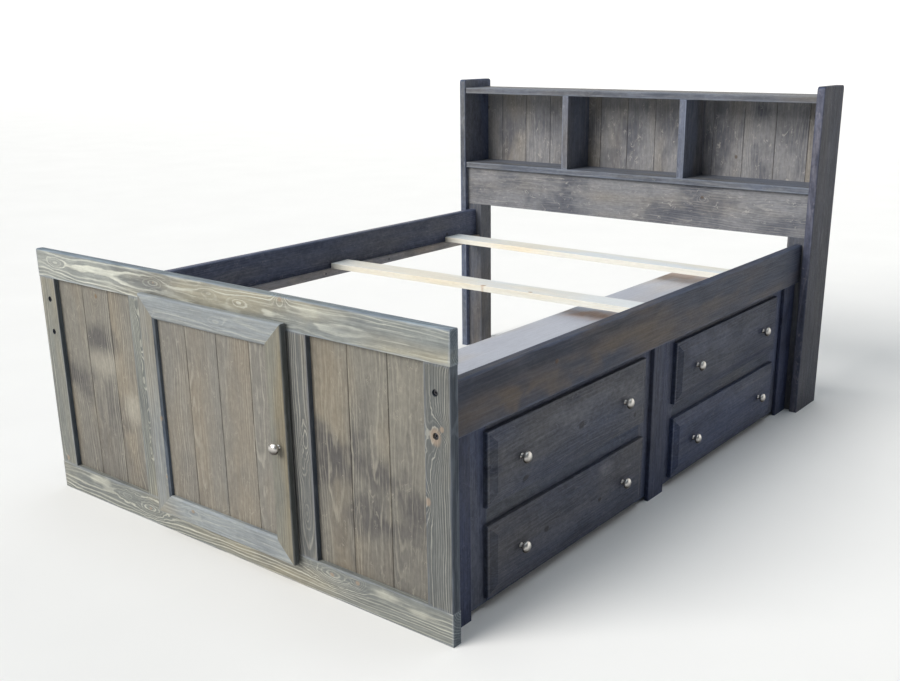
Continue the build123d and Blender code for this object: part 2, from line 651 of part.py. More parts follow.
# ---------------------------------------------------------------- drawer chest
CHEST_Y0 = FOOT_Y + CHEST_START
CHEST_Y1 = CHEST_Y0 + CHEST_LONG
CHEST_MIDDLE = (CHEST_Y0 + CHEST_Y1) / 2
FACE_BACK = FACE_FRONT - FACE_THICK
CHEST_BACK = FACE_FRONT - CHEST_DEEP
BAY_MIDDLES = (CHEST_MIDDLE - BAY_FROM_MIDDLE, CHEST_MIDDLE + BAY_FROM_MIDDLE)
OPENING_HALF = FRONT_WIDE / 2 - FRONT_LAP
OPENINGS_Z = [(low + FRONT_LAP, low + FRONT_HIGH - FRONT_LAP) for low in ROW_LOWS]

stile_spans = ((CHEST_Y0, BAY_MIDDLES[0] - OPENING_HALF),
               (BAY_MIDDLES[0] + OPENING_HALF, BAY_MIDDLES[1] - OPENING_HALF),
               (BAY_MIDDLES[1] + OPENING_HALF, CHEST_Y1))
with BuildPart() as chest_stiles:
    for y0, y1 in stile_spans:
        block((FACE_BACK, y0, BASE_LIFT), (FACE_FRONT, y1, FACE_TOP))
    fillet(chest_stiles.edges().filter_by(Axis.Z), radius=JOINT_EASE)
save(chest_stiles, "chest_stiles")

with BuildPart() as chest_posts:
    for middle in (CHEST_Y0 + POST_WIDE / 2, CHEST_MIDDLE, CHEST_Y1 - POST_WIDE / 2):
        block((FACE_FRONT, middle - POST_WIDE / 2, 0),
              (FACE_FRONT + POST_THICK, middle + POST_WIDE / 2, FACE_TOP))
    fillet(chest_posts.edges().filter_by(Axis.Z), radius=SOFT_EASE)
save(chest_posts, "chest_posts")

rail_levels = {"chest_bottom_rails": (BASE_LIFT, OPENINGS_Z[0][0]),
               "chest_middle_rails": (OPENINGS_Z[0][1], OPENINGS_Z[1][0]),
               "chest_top_rails": (OPENINGS_Z[1][1], FACE_TOP)}
for name, (low, high) in rail_levels.items():
    with BuildPart() as rails:
        for bay in BAY_MIDDLES:
            block((FACE_BACK, bay - OPENING_HALF, low), (FACE_FRONT, bay + OPENING_HALF, high))
        fillet(rails.edges().filter_by(Axis.Y), radius=JOINT_EASE)
    save(rails, name)

PANEL_BACK_X = CHEST_BACK + BACK_THICK
CARCASS_TOP = CHEST_TOP - PLY_THICK
with BuildPart() as chest_end_panels:
    for y0 in (CHEST_Y0, CHEST_Y1 - SIDE_PANEL_THICK):
        block((PANEL_BACK_X, y0, 0), (FACE_BACK, y0 + SIDE_PANEL_THICK, CARCASS_TOP))
save(chest_end_panels, "chest_end_panels")

with BuildPart() as chest_partition:
    block((PANEL_BACK_X, CHEST_MIDDLE - SIDE_PANEL_THICK / 2, BASE_LIFT),
          (FACE_BACK, CHEST_MIDDLE + SIDE_PANEL_THICK / 2, CARCASS_TOP))
save(chest_partition, "chest_partition")

with BuildPart() as chest_back:
    block((CHEST_BACK, CHEST_Y0, 0), (PANEL_BACK_X, CHEST_Y1, CARCASS_TOP))
save(chest_back, "chest_back")

with BuildPart() as chest_top:
    block((CHEST_BACK, CHEST_Y0, CARCASS_TOP), (FACE_BACK, CHEST_Y1, CHEST_TOP))
    fillet(chest_top.edges().filter_by(Axis.Y).group_by(Axis.X)[0], radius=SHEET_EASE)
save(chest_top, "chest_top")

BOX_HALF = OPENING_HALF - BOX_SIDE_GAP
with BuildPart() as drawer_runners:
    for bay in BAY_MIDDLES:
        for floor, _ in OPENINGS_Z:
            ledge_top = floor + BOX_LIFT - RUNNER_DROP
            for side in (-1, 1):
                wall_near = bay + side * (BOX_HALF + RUNNER_PLAY)
                wall_far = wall_near + side * RUNNER_WALL
                wall = sorted((wall_near, wall_far))
                ledge = sorted((bay + side * (BOX_HALF - RUNNER_LEDGE), wall_far))
                block((PANEL_BACK_X, ledge[0], ledge_top - RUNNER_THICK), (FACE_BACK, ledge[1], ledge_top))
                block((PANEL_BACK_X, wall[0], ledge_top - RUNNER_THICK),
                      (FACE_BACK, wall[1], ledge_top + RUNNER_HIGH - RUNNER_THICK))
save(drawer_runners, "drawer_runners")

# ---------------------------------------------------------------- drawers
FRONT_BACK_X = FACE_FRONT + FRONT_GAP
FRONT_RIM_X = FRONT_BACK_X + FRONT_EDGE
FRONT_FACE_X = FRONT_RIM_X + FRONT_RISE


def facing_x(x, y, z):
    """A plane across the bed's side, looking out towards +X."""
    return Plane((x, y, z), x_dir=(0, 1, 0), z_dir=(1, 0, 0))


def drawer_front(bay, low):
    """An overlay front with a bevelled, raised field."""
    middle = low + FRONT_HIGH / 2
    with BuildPart() as front:
        with BuildSketch(facing_x(FRONT_BACK_X, bay, middle)):
            Rectangle(FRONT_WIDE, FRONT_HIGH)
        extrude(amount=FRONT_EDGE)
        rim = front.faces().sort_by(Axis.X)[-1].edges()
        fillet(rim, radius=EDGE_EASE)
        with BuildSketch(facing_x(FRONT_RIM_X - FIELD_SUNK, bay, middle)):
            Rectangle(FRONT_WIDE - 2 * FIELD_INSET, FRONT_HIGH - 2 * FIELD_INSET)
        with BuildSketch(facing_x(FRONT_FACE_X, bay, middle)):
            Rectangle(FRONT_WIDE - 2 * FRONT_BEVEL, FRONT_HIGH - 2 * FRONT_BEVEL)
        loft()
    return front


def drawer_box(bay, floor):
    """Two sides, a front and a back wall around a groove for the bottom."""
    y0, y1 = bay - BOX_HALF, bay + BOX_HALF
    x1 = FRONT_BACK_X
    x0 = x1 - BOX_LONG
    low, high = floor + BOX_LIFT, floor + BOX_LIFT + BOX_HIGH
    with BuildPart() as box:
        for side_y in (y0, y1 - BOX_WALL):
            block((x0, side_y, low), (x1, side_y + BOX_WALL, high))
        fillet(box.edges().filter_by(Axis.X).group_by(Axis.Z)[-1], radius=SOFT_EASE)
        for wall_x in (x0 + BOX_BACK_SET, x1 - BOX_WALL):
            block((wall_x, y0 + BOX_WALL + GLUE_LINE, low),
                  (wall_x + BOX_WALL, y1 - BOX_WALL - GLUE_LINE, high - BOX_END_DROP))
        groove = low + BOX_BOTTOM_LIFT
        inset = BOX_WALL - GROOVE_DEEP
        cut((x0 + BOX_BACK_SET + inset, y0 + inset, groove),
            (x1 - inset, y1 - inset, groove + BOX_BOTTOM))
    return box


def drawer_bottom(bay, floor):
    """The plywood sheet that slides into the walls' groove."""
    inset = BOX_WALL - GROOVE_DEEP + GLUE_LINE
    low = floor + BOX_LIFT + BOX_BOTTOM_LIFT
    x1 = FRONT_BACK_X
    with BuildPart() as bottom:
        block((x1 - BOX_LONG + BOX_BACK_SET + inset, bay - BOX_HALF + inset, low),
              (x1 - inset, bay + BOX_HALF - inset, low + BOX_BOTTOM))
    return bottom


number = 0
for row in (1, 0):
    for bay in BAY_MIDDLES:
        number += 1
        low = ROW_LOWS[row]
        floor = OPENINGS_Z[row][0]
        save(drawer_front(bay, low), f"drawer_{number}_front")
        save(drawer_box(bay, floor), f"drawer_{number}_box")
        save(drawer_bottom(bay, floor), f"drawer_{number}_bottom")
        knobs = [knob_on(facing_x(FRONT_FACE_X, bay + spread, low + FRONT_HIGH / 2))
                 for spread in (-KNOB_SPREAD, KNOB_SPREAD)]
        save(gathered(knobs), f"drawer_{number}_knobs")
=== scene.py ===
import math

import bpy
from mathutils import Matrix, Vector


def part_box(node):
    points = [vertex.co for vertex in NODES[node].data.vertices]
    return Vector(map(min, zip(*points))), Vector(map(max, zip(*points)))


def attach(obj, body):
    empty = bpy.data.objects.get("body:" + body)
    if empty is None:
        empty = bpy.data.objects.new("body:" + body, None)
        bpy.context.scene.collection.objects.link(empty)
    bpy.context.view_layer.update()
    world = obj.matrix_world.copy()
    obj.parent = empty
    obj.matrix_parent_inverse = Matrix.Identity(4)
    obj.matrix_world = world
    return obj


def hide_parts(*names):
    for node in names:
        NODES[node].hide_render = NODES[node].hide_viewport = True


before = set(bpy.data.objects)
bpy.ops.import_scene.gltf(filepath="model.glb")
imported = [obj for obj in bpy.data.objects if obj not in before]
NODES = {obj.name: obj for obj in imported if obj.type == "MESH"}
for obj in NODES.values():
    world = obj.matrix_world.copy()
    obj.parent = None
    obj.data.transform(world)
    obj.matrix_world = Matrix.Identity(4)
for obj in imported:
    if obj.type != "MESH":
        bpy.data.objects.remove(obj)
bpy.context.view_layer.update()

DRAWERS = range(1, 5)


# ---------------------------------------------------------------- node graphs
def srgb(red, green, blue):
    """A colour given in 0-255 screen values, as the linear RGBA that shaders take."""
    def linear(value):
        value /= 255
        return value / 12.92 if value <= 0.04045 else ((value + 0.055) / 1.055) ** 2.4
    return (linear(red), linear(green), linear(blue), 1.0)


class Graph:
    """A material's node tree. Its calls return output sockets, so that they nest."""

    def __init__(self, name):
        self.material = bpy.data.materials.new(name)
        self.material.use_nodes = True
        self.tree = self.material.node_tree
        self.tree.nodes.clear()
        self.here = self.add("TexCoord").outputs["Object"]

    def feed(self, socket, value):
        if isinstance(value, bpy.types.NodeSocket):
            self.tree.links.new(value, socket)
        else:
            socket.default_value = value

    def add(self, kind, inputs=(), **settings):
        node = self.tree.nodes.new("ShaderNode" + kind)
        for key, value in settings.items():
            setattr(node, key, value)
        for key, value in dict(inputs).items():
            self.feed(node.inputs[key], value)
        return node

    def facing(self, axis):
        """How far the surface faces along an axis, from -1 to 1."""
        normal = self.add("TexCoord").outputs["Normal"]
        return self.add("SeparateXYZ", {0: normal}).outputs[axis]

    def math(self, operation, *values):
        return self.add("Math", enumerate(values), operation=operation).outputs[0]

    def plus(self, a, b):
        return self.math("ADD", a, b)

    def minus(self, a, b):
        return self.math("SUBTRACT", a, b)

    def times(self, a, b):
        return self.math("MULTIPLY", a, b)

    def bell(self, distance, width):
        """1 where the distance is nothing, falling away smoothly beyond the width."""
        return self.math("EXPONENT", self.times(self.times(distance, distance), -1 / width ** 2))

    def vector(self, operation, a, b):
        node = self.add("VectorMath", {0: a, 1: b}, operation=operation)
        return node.outputs["Value" if operation == "LENGTH" else "Vector"]

    def length(self, x, y):
        pair = self.add("CombineXYZ", {"X": x, "Y": y}).outputs[0]
        return self.vector("LENGTH", pair, (0, 0, 0))

    def noise(self, place, detail=2.0, rough=0.5, twist=0.0):
        node = self.add("TexNoise", {"Vector": place, "Scale": 1.0, "Detail": detail,
                                     "Roughness": rough, "Distortion": twist})
        return node.outputs["Fac"]

    def speckle(self, cycles, detail):
        """Noise with this many cycles to the metre, the same each way."""
        return self.noise(self.vector("MULTIPLY", self.here, (cycles, cycles, cycles)), detail)

    def random(self, number):
        return self.add("TexWhiteNoise", {"W": number}, noise_dimensions="1D").outputs

    def step(self, value, start, end, low=0.0, high=1.0):
        """A smooth step of value from start to end, giving low to high."""
        node = self.add("MapRange", {"Value": value, "From Min": start, "From Max": end,
                                     "To Min": low, "To Max": high}, interpolation_type="SMOOTHSTEP")
        return node.outputs["Result"]

    def spread(self, value, low, high):
        """A 0-1 value spread evenly over low to high."""
        node = self.add("MapRange", {"Value": value, "To Min": low, "To Max": high})
        return node.outputs["Result"]

    def mix(self, share, a, b):
        """Colour a with a share of colour b over it. Sockets 6, 7 and 2 are the ones for colours."""
        return self.add("Mix", {0: share, 6: a, 7: b}, data_type="RGBA").outputs[2]

    def vary(self, colour, value, amount):
        """The colour made darker or brighter by up to amount, as a 0-1 value goes low or high."""
        brightness = self.spread(value, 1 - amount, 1 + amount)
        return self.vector("MULTIPLY", colour, self.add("CombineXYZ", {
            "X": brightness, "Y": brightness, "Z": brightness}).outputs[0])

    def finish(self, colour, roughness, height, relief, metallic=0.0, specular=0.5):
        """The finished material, its bump as high as relief in metres where height is 1."""
        normal = self.add("Bump", {"Height": height, "Distance": relief, "Strength": 1.0}).outputs[0]
        shader = self.add("BsdfPrincipled", {
            "Base Color": colour, "Roughness": roughness, "Normal": normal,
            "Metallic": metallic, "Specular IOR Level": specular})
        output = self.add("OutputMaterial")
        self.tree.links.new(shader.outputs[0], output.inputs["Surface"])
        return self.material


# ---------------------------------------------------------------- wood
AXES = {"x": 0, "y": 1, "z": 2}

# A look holds the colours of its stain: ground, warm patches, dark blotches, pale late wood, edges
# (rubbed paler, with a painted highlight) and knots. Then come how strongly the late wood, blotches,
# pale dashes, flecks, long streaks and fine mottle show, a growth ring's width and how far the rings
# curl, the last two in metres.
LOOKS = {
    "frame": dict(ground=(112, 115, 112), warm=(136, 131, 115), blotch=(84, 87, 91),
                  late=(188, 187, 174), edge=(138, 146, 156), knot=(146, 130, 114), lines=1.0,
                  blotches=0.5, dashes=0.25, flecks=0.1, streaks=0.16, mottle=0.06, spacing=0.006,
                  curl=0.01),
    "door": dict(ground=(132, 137, 139), warm=(135, 132, 122), blotch=(104, 109, 115),
                 late=(174, 175, 166), edge=(148, 156, 166), knot=(138, 122, 104), lines=0.5,
                 blotches=0.45, dashes=0.35, flecks=0.15, streaks=0.15, mottle=0.06, spacing=0.0062,
                 curl=0.007),
    "plank": dict(ground=(120, 117, 110), warm=(127, 119, 106), blotch=(82, 80, 80),
                  late=(166, 161, 148), edge=(110, 108, 106), knot=(118, 98, 74), lines=0.6,
                  blotches=0.3, dashes=0.3, flecks=0.35, streaks=0.05, mottle=0.1, spacing=0.0075,
                  curl=0.02),
    "header": dict(ground=(125, 126, 130), warm=(129, 125, 120), blotch=(80, 83, 93),
                   late=(168, 166, 162), edge=(120, 124, 132), knot=(92, 80, 70), lines=0.35,
                   blotches=0.7, dashes=0.3, flecks=0.7, streaks=0.06, mottle=0.12, spacing=0.0075,
                   curl=0.014),
    # the side and rail looks are the frame's stain made darker and bluer: painted shade for the boards on the
    # bed's shaded side
    "side": dict(ground=(68, 74, 90), warm=(82, 83, 87), blotch=(44, 49, 63),
                 late=(112, 114, 122), edge=(88, 97, 114), knot=(40, 38, 42), lines=0.35,
                 blotches=0.85, dashes=0.25, flecks=0.5, streaks=0.08, mottle=0.22, spacing=0.0075,
                 curl=0.007),
    "rail": dict(ground=(66, 71, 84), warm=(104, 91, 78), blotch=(44, 48, 60),
                 late=(100, 98, 100), edge=(108, 118, 138), knot=(84, 66, 52), lines=0.25,
                 blotches=0.5, dashes=0.15, flecks=0.15, streaks=0.09, mottle=0.1, spacing=0.0075,
                 curl=0.007),
    "shelf": dict(ground=(96, 101, 112), warm=(102, 99, 96), blotch=(66, 70, 79),
                  late=(138, 138, 137), edge=(126, 134, 147), knot=(88, 78, 68), lines=0.4,
                  blotches=0.6, dashes=0.35, flecks=0.4, streaks=0.14, mottle=0.12, spacing=0.007,
                  curl=0.007),
    "slat": dict(ground=(220, 224, 226), warm=(226, 220, 206), blotch=(206, 208, 208),
                 late=(212, 200, 176), edge=(236, 232, 220), knot=(172, 136, 102), lines=0.3,
                 blotches=0.25, dashes=0.05, flecks=0.0, streaks=0.04, mottle=0.02, spacing=0.006,
                 curl=0.007),
    "raw": dict(ground=(214, 190, 152), warm=(220, 188, 140), blotch=(190, 164, 126),
                late=(186, 148, 100), edge=(224, 204, 170), knot=(150, 98, 56), lines=0.5,
                blotches=0.3, dashes=0.1, flecks=0.0, streaks=0.12, mottle=0.03, spacing=0.006,
                curl=0.007),
    "ply": dict(ground=(186, 189, 198), warm=(190, 186, 184), blotch=(170, 170, 178),
                late=(182, 178, 178), edge=(204, 206, 208), knot=(168, 132, 96), lines=0.1,
                blotches=0.25, dashes=0.05, flecks=0.1, streaks=0.035, mottle=0.03, spacing=0.011,
                curl=0.007),
}

# how often each figure in the wood repeats, in cycles to the metre along the grain and across it
DRIFT = (1.4, 4.0)          # the rings' slow bends
CURL = (7.0, 26.0)          # their tight ones
SHIVER = (45.0, 70.0)       # a knot's uneven outline
FRESH = (2.0, 11.0)         # where the late wood stands out
WARMTH = (1.6, 7.0)         # warm patches
SMOKE = (5.0, 10.0)         # dark blotches
RAGGED = (9.0, 13.0)        # the outline of a placed patch
STREAK = (7.0, 180.0)
FIBRE = (26.0, 900.0)
MOTTLE = (60.0, 100.0)
DASH = (15.0, 300.0)
SQUIGGLE = (16.0, 34.0)     # the lines that flecks lie on
BREAKS = (24.0, 50.0)       # the stretches of those lines that show
EDGE_JITTER = (14.0, 60.0)          # how far in a pale edge reaches

PLANK_SHIFT = (23.0, 17.0, 19.0)    # how far apart two planks may take their figure, in metres
STRAY_PITH = 0.07                   # how far off a plank's middle its pith may lie
DRIFT_REACH = 0.05                  # how far the rings drift

# The rings part round a knot, and a solid knot has a dark core. Stray knots are round and sit in the
# cells of a loose grid. The listed ones are longer along the grain than across it.
STRAY_GRID = (6.0, 7.0, 0.0)        # cells to the metre along the grain and across it
STRAY_CELL = 0.155                  # a cell's size in metres
STRAY_REACH, STRAY_BEND = 0.018, 0.022
STRAY_CORE = (0.004, 0.008)         # the core fades out between these distances from its middle
KNOT_BEND = 1.2                     # how far the rings part, as a share of the knot's reach
KNOT_SQUEEZE, CORE_SQUEEZE = 0.36, 0.75     # a knot's length along the grain is measured this short
CORE_COVER = 0.75                   # how strongly the core's colour covers the stain

LATE_STARTS, LATE_ENDS = (0.42, 0.72), (0.79, 0.94)     # where in a ring the late wood comes and goes
FAINTEST_RING, FAINTEST_PLACE = 0.2, 0.25       # the least that a ring and a place show of the line
FIBRE_CONTRAST = 0.14
PATCH_EDGE = (0.1, 1.7)             # a patch fades out between these shares of its half size
FLANK_TURN = (0.3, 0.75)            # a face counts as a narrow one as it turns sideways this far
END_TURN = (0.15, 0.6)              # and as an end as it turns this far along the grain
END_STAIN_AND_SHADE = (0.48, 0.56, 0.7)       # ends drink more stain and carry painted shade: how much deeper the colour is in each channel
SEAM_EDGE = (0.0004, 0.002)         # a seam's shadow fades out between these distances in metres
SEAM_SHADOW, SEAM_COVER = (44, 42, 41), 0.25
EDGE_WIDTH, EDGE_WEAR_AND_HIGHLIGHT = 0.004, 0.28     # how wide the pale edges are, and how pale they get, from rubbed wear and a painted highlight
WOOD_SPECULAR = 0.22
WOOD_RELIEF = 0.0009                # height of the bump in metres


class Board(Graph):
    """The graph of one board, or of one row of planks, with directions of its own.

    along, over and into are places in metres with the grain, across the wide face and through the
    board. centre is where the pith lies across, and seam the distance to a row's nearest seam."""

    def __init__(self, name, run, across, look, seed, pith, planks, turned):
        super().__init__(f"{look}_{name}")
        deep = next(axis for axis in AXES if axis not in (run, across))
        self.run, self.across, self.deep = AXES[run], AXES[across], AXES[deep]
        self.low, self.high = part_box(name)
        self.middle = [(low + high) / 2 for low, high in zip(self.low, self.high)]
        self.split = self.add("SeparateXYZ", {0: self.here}).outputs
        self.along, self.over, self.into = (self.split[i] for i in (self.run, self.across, self.deep))
        if turned:
            self.turn_ends(*turned)
        self.centre = self.middle[self.across] + pith
        number = float(seed)
        if planks:
            first, pitch = planks
            count = self.math("DIVIDE", self.plus(self.over, -first), pitch)
            number = self.plus(self.math("FLOOR", count), number)
            off_seam = self.minus(count, self.math("ROUND", count))
            self.seam = self.times(self.math("ABSOLUTE", off_seam), pitch)
        chance = self.random(number)
        if planks:
            plank_middle = self.plus(self.times(self.plus(self.math("FLOOR", count), 0.5), pitch), first)
            self.centre = self.plus(plank_middle, self.spread(chance["Value"], -STRAY_PITH, STRAY_PITH))
        place = self.add("CombineXYZ", {"X": self.along, "Y": self.over, "Z": self.into}).outputs[0]
        self.place = self.vector("ADD", place, self.vector("MULTIPLY", chance["Color"], PLANK_SHIFT))

    def turn_ends(self, start, end):
        """Solids before start and after end run along the node's other axis."""
        inside = self.times(self.math("GREATER_THAN", self.along, start),
                            self.math("LESS_THAN", self.along, end))
        outside = self.minus(1.0, inside)
        self.along, self.into = (self.plus(self.times(inside, a), self.times(outside, b))
                                 for a, b in ((self.along, self.into), (self.into, self.along)))

    def figure(self, cycles, **settings):
        """Noise with this many cycles to the metre along the grain and across it."""
        lengthwise, crosswise = cycles
        return self.noise(self.vector("MULTIPLY", self.place, (lengthwise, crosswise, crosswise)), **settings)

    def edge_distance(self):
        """Distance to the nearest edge of the node's box, for a place on the box's surface.

        Of the gaps to the nearest face along each axis, it is the middle one in size."""
        gaps = [self.math("MINIMUM", self.plus(self.split[i], -self.low[i]),
                          self.minus(self.high[i], self.split[i])) for i in range(3)]
        least = self.math("MINIMUM", self.math("MINIMUM", gaps[0], gaps[1]), gaps[2])
        most = self.math("MAXIMUM", self.math("MAXIMUM", gaps[0], gaps[1]), gaps[2])
        return self.minus(self.plus(self.plus(gaps[0], gaps[1]), gaps[2]), self.plus(least, most))


def pith_distance(g, depth, tilt, skew, curl):
    """Distance from the pith, with the bends that growth gives the rings."""
    away = g.plus(g.minus(g.over, g.centre), g.times(g.plus(g.along, -g.middle[g.run]), skew))
    under = g.plus(g.plus(g.into, -g.middle[g.deep] - depth),
                   g.times(g.plus(g.along, -g.low[g.run]), tilt))
    radius = g.math("SQRT", g.plus(g.times(away, away), g.times(under, under)))
    radius = g.plus(radius, g.times(g.figure(DRIFT), DRIFT_REACH))
    return g.plus(radius, g.times(g.figure(CURL, detail=3), curl))


def add_knots(g, radius, knots, knotty):
    """The distance from the pith, bent round stray knots and placed ones, and their cores."""
    cells = g.add("TexVoronoi", {"Vector": g.vector("MULTIPLY", g.place, STRAY_GRID), "Scale": 1.0,
                                 "Randomness": 0.8}, voronoi_dimensions="2D").outputs
    lucky = g.math("LESS_THAN", g.add("SeparateColor", {0: cells["Color"]}).outputs[0], knotty)
    near = g.times(cells["Distance"], STRAY_CELL)
    radius = g.plus(radius, g.times(g.times(g.bell(near, STRAY_REACH), lucky), -STRAY_BEND))
    core = g.times(g.step(near, *STRAY_CORE, 1.0, 0.0), lucky)
    if knots:
        shiver = g.spread(g.figure(SHIVER, detail=2), 0.65, 1.35)
    for at_run, at_across, size, reach in knots:
        beside, ahead = g.plus(g.over, -at_across), g.plus(g.along, -at_run)
        near = g.times(g.length(g.times(ahead, KNOT_SQUEEZE), beside), shiver)
        radius = g.plus(radius, g.times(g.bell(near, reach), -reach * KNOT_BEND))
        if size:
            near = g.times(g.length(g.times(ahead, CORE_SQUEEZE), beside), shiver)
            core = g.math("MAXIMUM", core, g.step(near, size * 0.5, size * 1.1, 1.0, 0.0))
    return radius, core


def late_wood(g, radius, shades):
    """A pale line at the end of each ring, stronger in some rings and places than in others."""
    phase = g.math("DIVIDE", radius, shades["spacing"])
    part = g.math("FRACT", phase)
    line = g.times(g.step(part, *LATE_STARTS), g.step(part, *LATE_ENDS, 1.0, 0.0))
    ring = g.spread(g.random(g.math("FLOOR", phase))["Value"], FAINTEST_RING, 1.0)
    fresh = g.step(g.figure(FRESH, detail=3), 0.36, 0.66, FAINTEST_PLACE, 1.0)
    return g.times(g.times(line, ring), g.times(fresh, shades["lines"]))


def clouds(g, shades, patches):
    """The stain's ground colour with its warm and dark clouds, and the listed patches, of stain and of
    painted shadow.
    """
    warmth = g.step(g.figure(WARMTH, detail=3), 0.42, 0.68)
    stain = g.mix(warmth, srgb(*shades["ground"]), srgb(*shades["warm"]))
    smoke = g.step(g.figure(SMOKE, detail=4, rough=0.55, twist=0.6), 0.48, 0.74)
    stain = g.mix(g.times(smoke, shades["blotches"]), stain, srgb(*shades["blotch"]))
    if patches:
        ragged = g.spread(g.figure(RAGGED, detail=3, rough=0.5, twist=0.5), -1.7, 1.7)
    for shade, at_run, at_across, length, width, share in patches:
        ahead = g.math("DIVIDE", g.plus(g.along, -at_run), length)
        beside = g.math("DIVIDE", g.plus(g.over, -at_across), width)
        inside = g.step(g.plus(g.length(ahead, beside), ragged), *PATCH_EDGE, share, 0.0)
        stain = g.mix(inside, stain, srgb(*shades.get(shade, shade)))
    return stain


def fine_marks(g, stain, streak, shades):
    """The stain with its streaks, fibres, mottle, pale dashes and squiggly flecks."""
    late = srgb(*shades["late"])
    stain = g.vary(stain, streak, shades["streaks"])
    stain = g.vary(stain, g.figure(FIBRE, detail=1), FIBRE_CONTRAST)
    mottle = g.step(g.figure(MOTTLE, detail=4, rough=0.7), 0.3, 0.7)
    stain = g.vary(stain, mottle, shades["mottle"])
    dash = g.step(g.figure(DASH, detail=1), 0.62, 0.72)
    stain = g.mix(g.times(dash, shades["dashes"]), stain, late)
    off_line = g.math("ABSOLUTE", g.plus(g.figure(SQUIGGLE, detail=3, rough=0.6, twist=0.8), -0.5))
    fleck = g.times(g.step(off_line, 0.006, 0.02, 1.0, 0.0), g.step(g.figure(BREAKS), 0.5, 0.66))
    return g.mix(g.times(fleck, shades["flecks"]), stain, late)


def wood(name, run, across, look, seed, pith=0.0, depth=0.045, tilt=0.02, skew=0.0,
         planks=None, knots=(), patches=(), knotty=0.1, turned=None,
         tone_and_shade=(1.0, 1.0, 1.0), flank_light_and_shade=None):
    """Sawn pine: growth rings round a pith that lies beside the board, cut by its faces.

    run and across are the grain's axis and the axis over the wide face. The pith lies depth
    behind the face and pith off the middle, in metres, and leaves the board's line by tilt and
    skew. planks is (first seam, pitch) where one node holds a row of planks, and turned is the
    two places along it outside which a node's solids run the other way. Each knot is (place
    along run, place across, radius, reach of its swirl), with no radius for a swirl alone, and
    knotty is the share of stray ones. Each soft patch is (shade, place along run, place
    across, half length, half width, share), its shade a name in the look or a colour; most are
    stain, and the chest top's are painted shadow. The tone factor scales the board's colour:
    its stain, and on several boards painted light and shade as well. The flank factor scales it
    again on the narrow faces, painting shade there where it is below 1 and light where it is above 1."""
    shades = LOOKS[look]
    g = Board(name, run, across, look, seed, pith, planks, turned)
    radius = pith_distance(g, depth, tilt, skew, shades["curl"])
    radius, core = add_knots(g, radius, knots, knotty)
    lines = late_wood(g, radius, shades)
    streak = g.step(g.figure(STREAK, detail=4, rough=0.65), 0.28, 0.72)
    stain = g.mix(lines, clouds(g, shades, patches), srgb(*shades["late"]))
    stain = g.vector("MULTIPLY", fine_marks(g, stain, streak, shades), tone_and_shade)
    # painted light and shade on the narrow faces: the flank factor darkens them where it is below 1 and
    # brightens them where it is above 1
    if flank_light_and_shade:
        sideways = g.step(g.math("ABSOLUTE", g.facing(g.across)), *FLANK_TURN)
        stain = g.mix(sideways, stain, g.vector("MULTIPLY", stain, flank_light_and_shade))
    stain = g.mix(g.times(core, CORE_COVER), stain, srgb(*shades["knot"]))
    if planks:
        stain = g.mix(g.step(g.seam, *SEAM_EDGE, SEAM_COVER, 0.0), stain, srgb(*SEAM_SHADOW))
    # ends are darker and bluer: end grain drinks more stain, and the bluish darkening also paints shade on
    # them
    if not turned:
        end = g.step(g.math("ABSOLUTE", g.facing(g.run)), *END_TURN)
        stain = g.mix(end, stain, g.vector("MULTIPLY", stain, END_STAIN_AND_SHADE))
    if not planks and not turned:       # edges are paler: rubbed wear, with a painted highlight
        jitter = g.spread(g.figure(EDGE_JITTER, detail=3), -0.006, 0.01)
        worn_and_lit = g.step(g.minus(g.edge_distance(), jitter), 0.0, EDGE_WIDTH, EDGE_WEAR_AND_HIGHLIGHT, 0.0)
        stain = g.mix(worn_and_lit, stain, g.vector("MULTIPLY", srgb(*shades["edge"])[:3], tone_and_shade))
    rough = g.plus(g.spread(streak, 0.62, 0.46), g.times(lines, -0.1))
    height = g.plus(g.times(lines, 0.7), g.plus(g.times(streak, 0.5), g.times(core, 0.6)))
    return g.finish(stain, rough, height, relief=WOOD_RELIEF, specular=WOOD_SPECULAR)


# ---------------------------------------------------------------- metal and plastic
# a painted dark reflection of the ground, on the metal's underside
DARK_REFLECTION = (58, 50, 45)
TARNISH_SHADE = 0.62        # tarnish is the metal's colour, this much darker


def metal(name, colour, rough, wear, reflection_below=0.0):
    """Plated metal: fine turning marks, faint tarnish in patches, a satin gloss and a painted dark reflection
    beneath.
    """
    g = Graph(name)
    marks = g.speckle(900.0, detail=3)
    tarnish = g.step(g.speckle(70.0, detail=4), 0.45, 0.75)
    shade = g.mix(g.times(tarnish, wear), srgb(*colour), srgb(*[TARNISH_SHADE * c for c in colour]))
    # painted reflection: faces turned downwards are darkened towards that colour
    beneath = g.step(g.facing(AXES["z"]), 0.25, -0.4, 0.0, reflection_below)
    shade = g.mix(beneath, shade, srgb(*DARK_REFLECTION))
    gloss = g.plus(g.spread(marks, rough - 0.05, rough + 0.07), g.times(tarnish, 0.08))
    return g.finish(shade, gloss, marks, relief=0.00004, metallic=1.0)


def plastic(name, colour):
    """Moulded plastic with a fine grain and a little dust."""
    g = Graph(name)
    grain = g.speckle(1500.0, detail=2)
    dust = g.step(g.speckle(60.0, detail=4), 0.5, 0.8)
    dusty = [c * 1.5 + 16 for c in colour]
    shade = g.mix(g.times(dust, 0.3), srgb(*colour), srgb(*dusty))
    return g.finish(shade, g.spread(grain, 0.42, 0.6), grain, relief=0.00008)


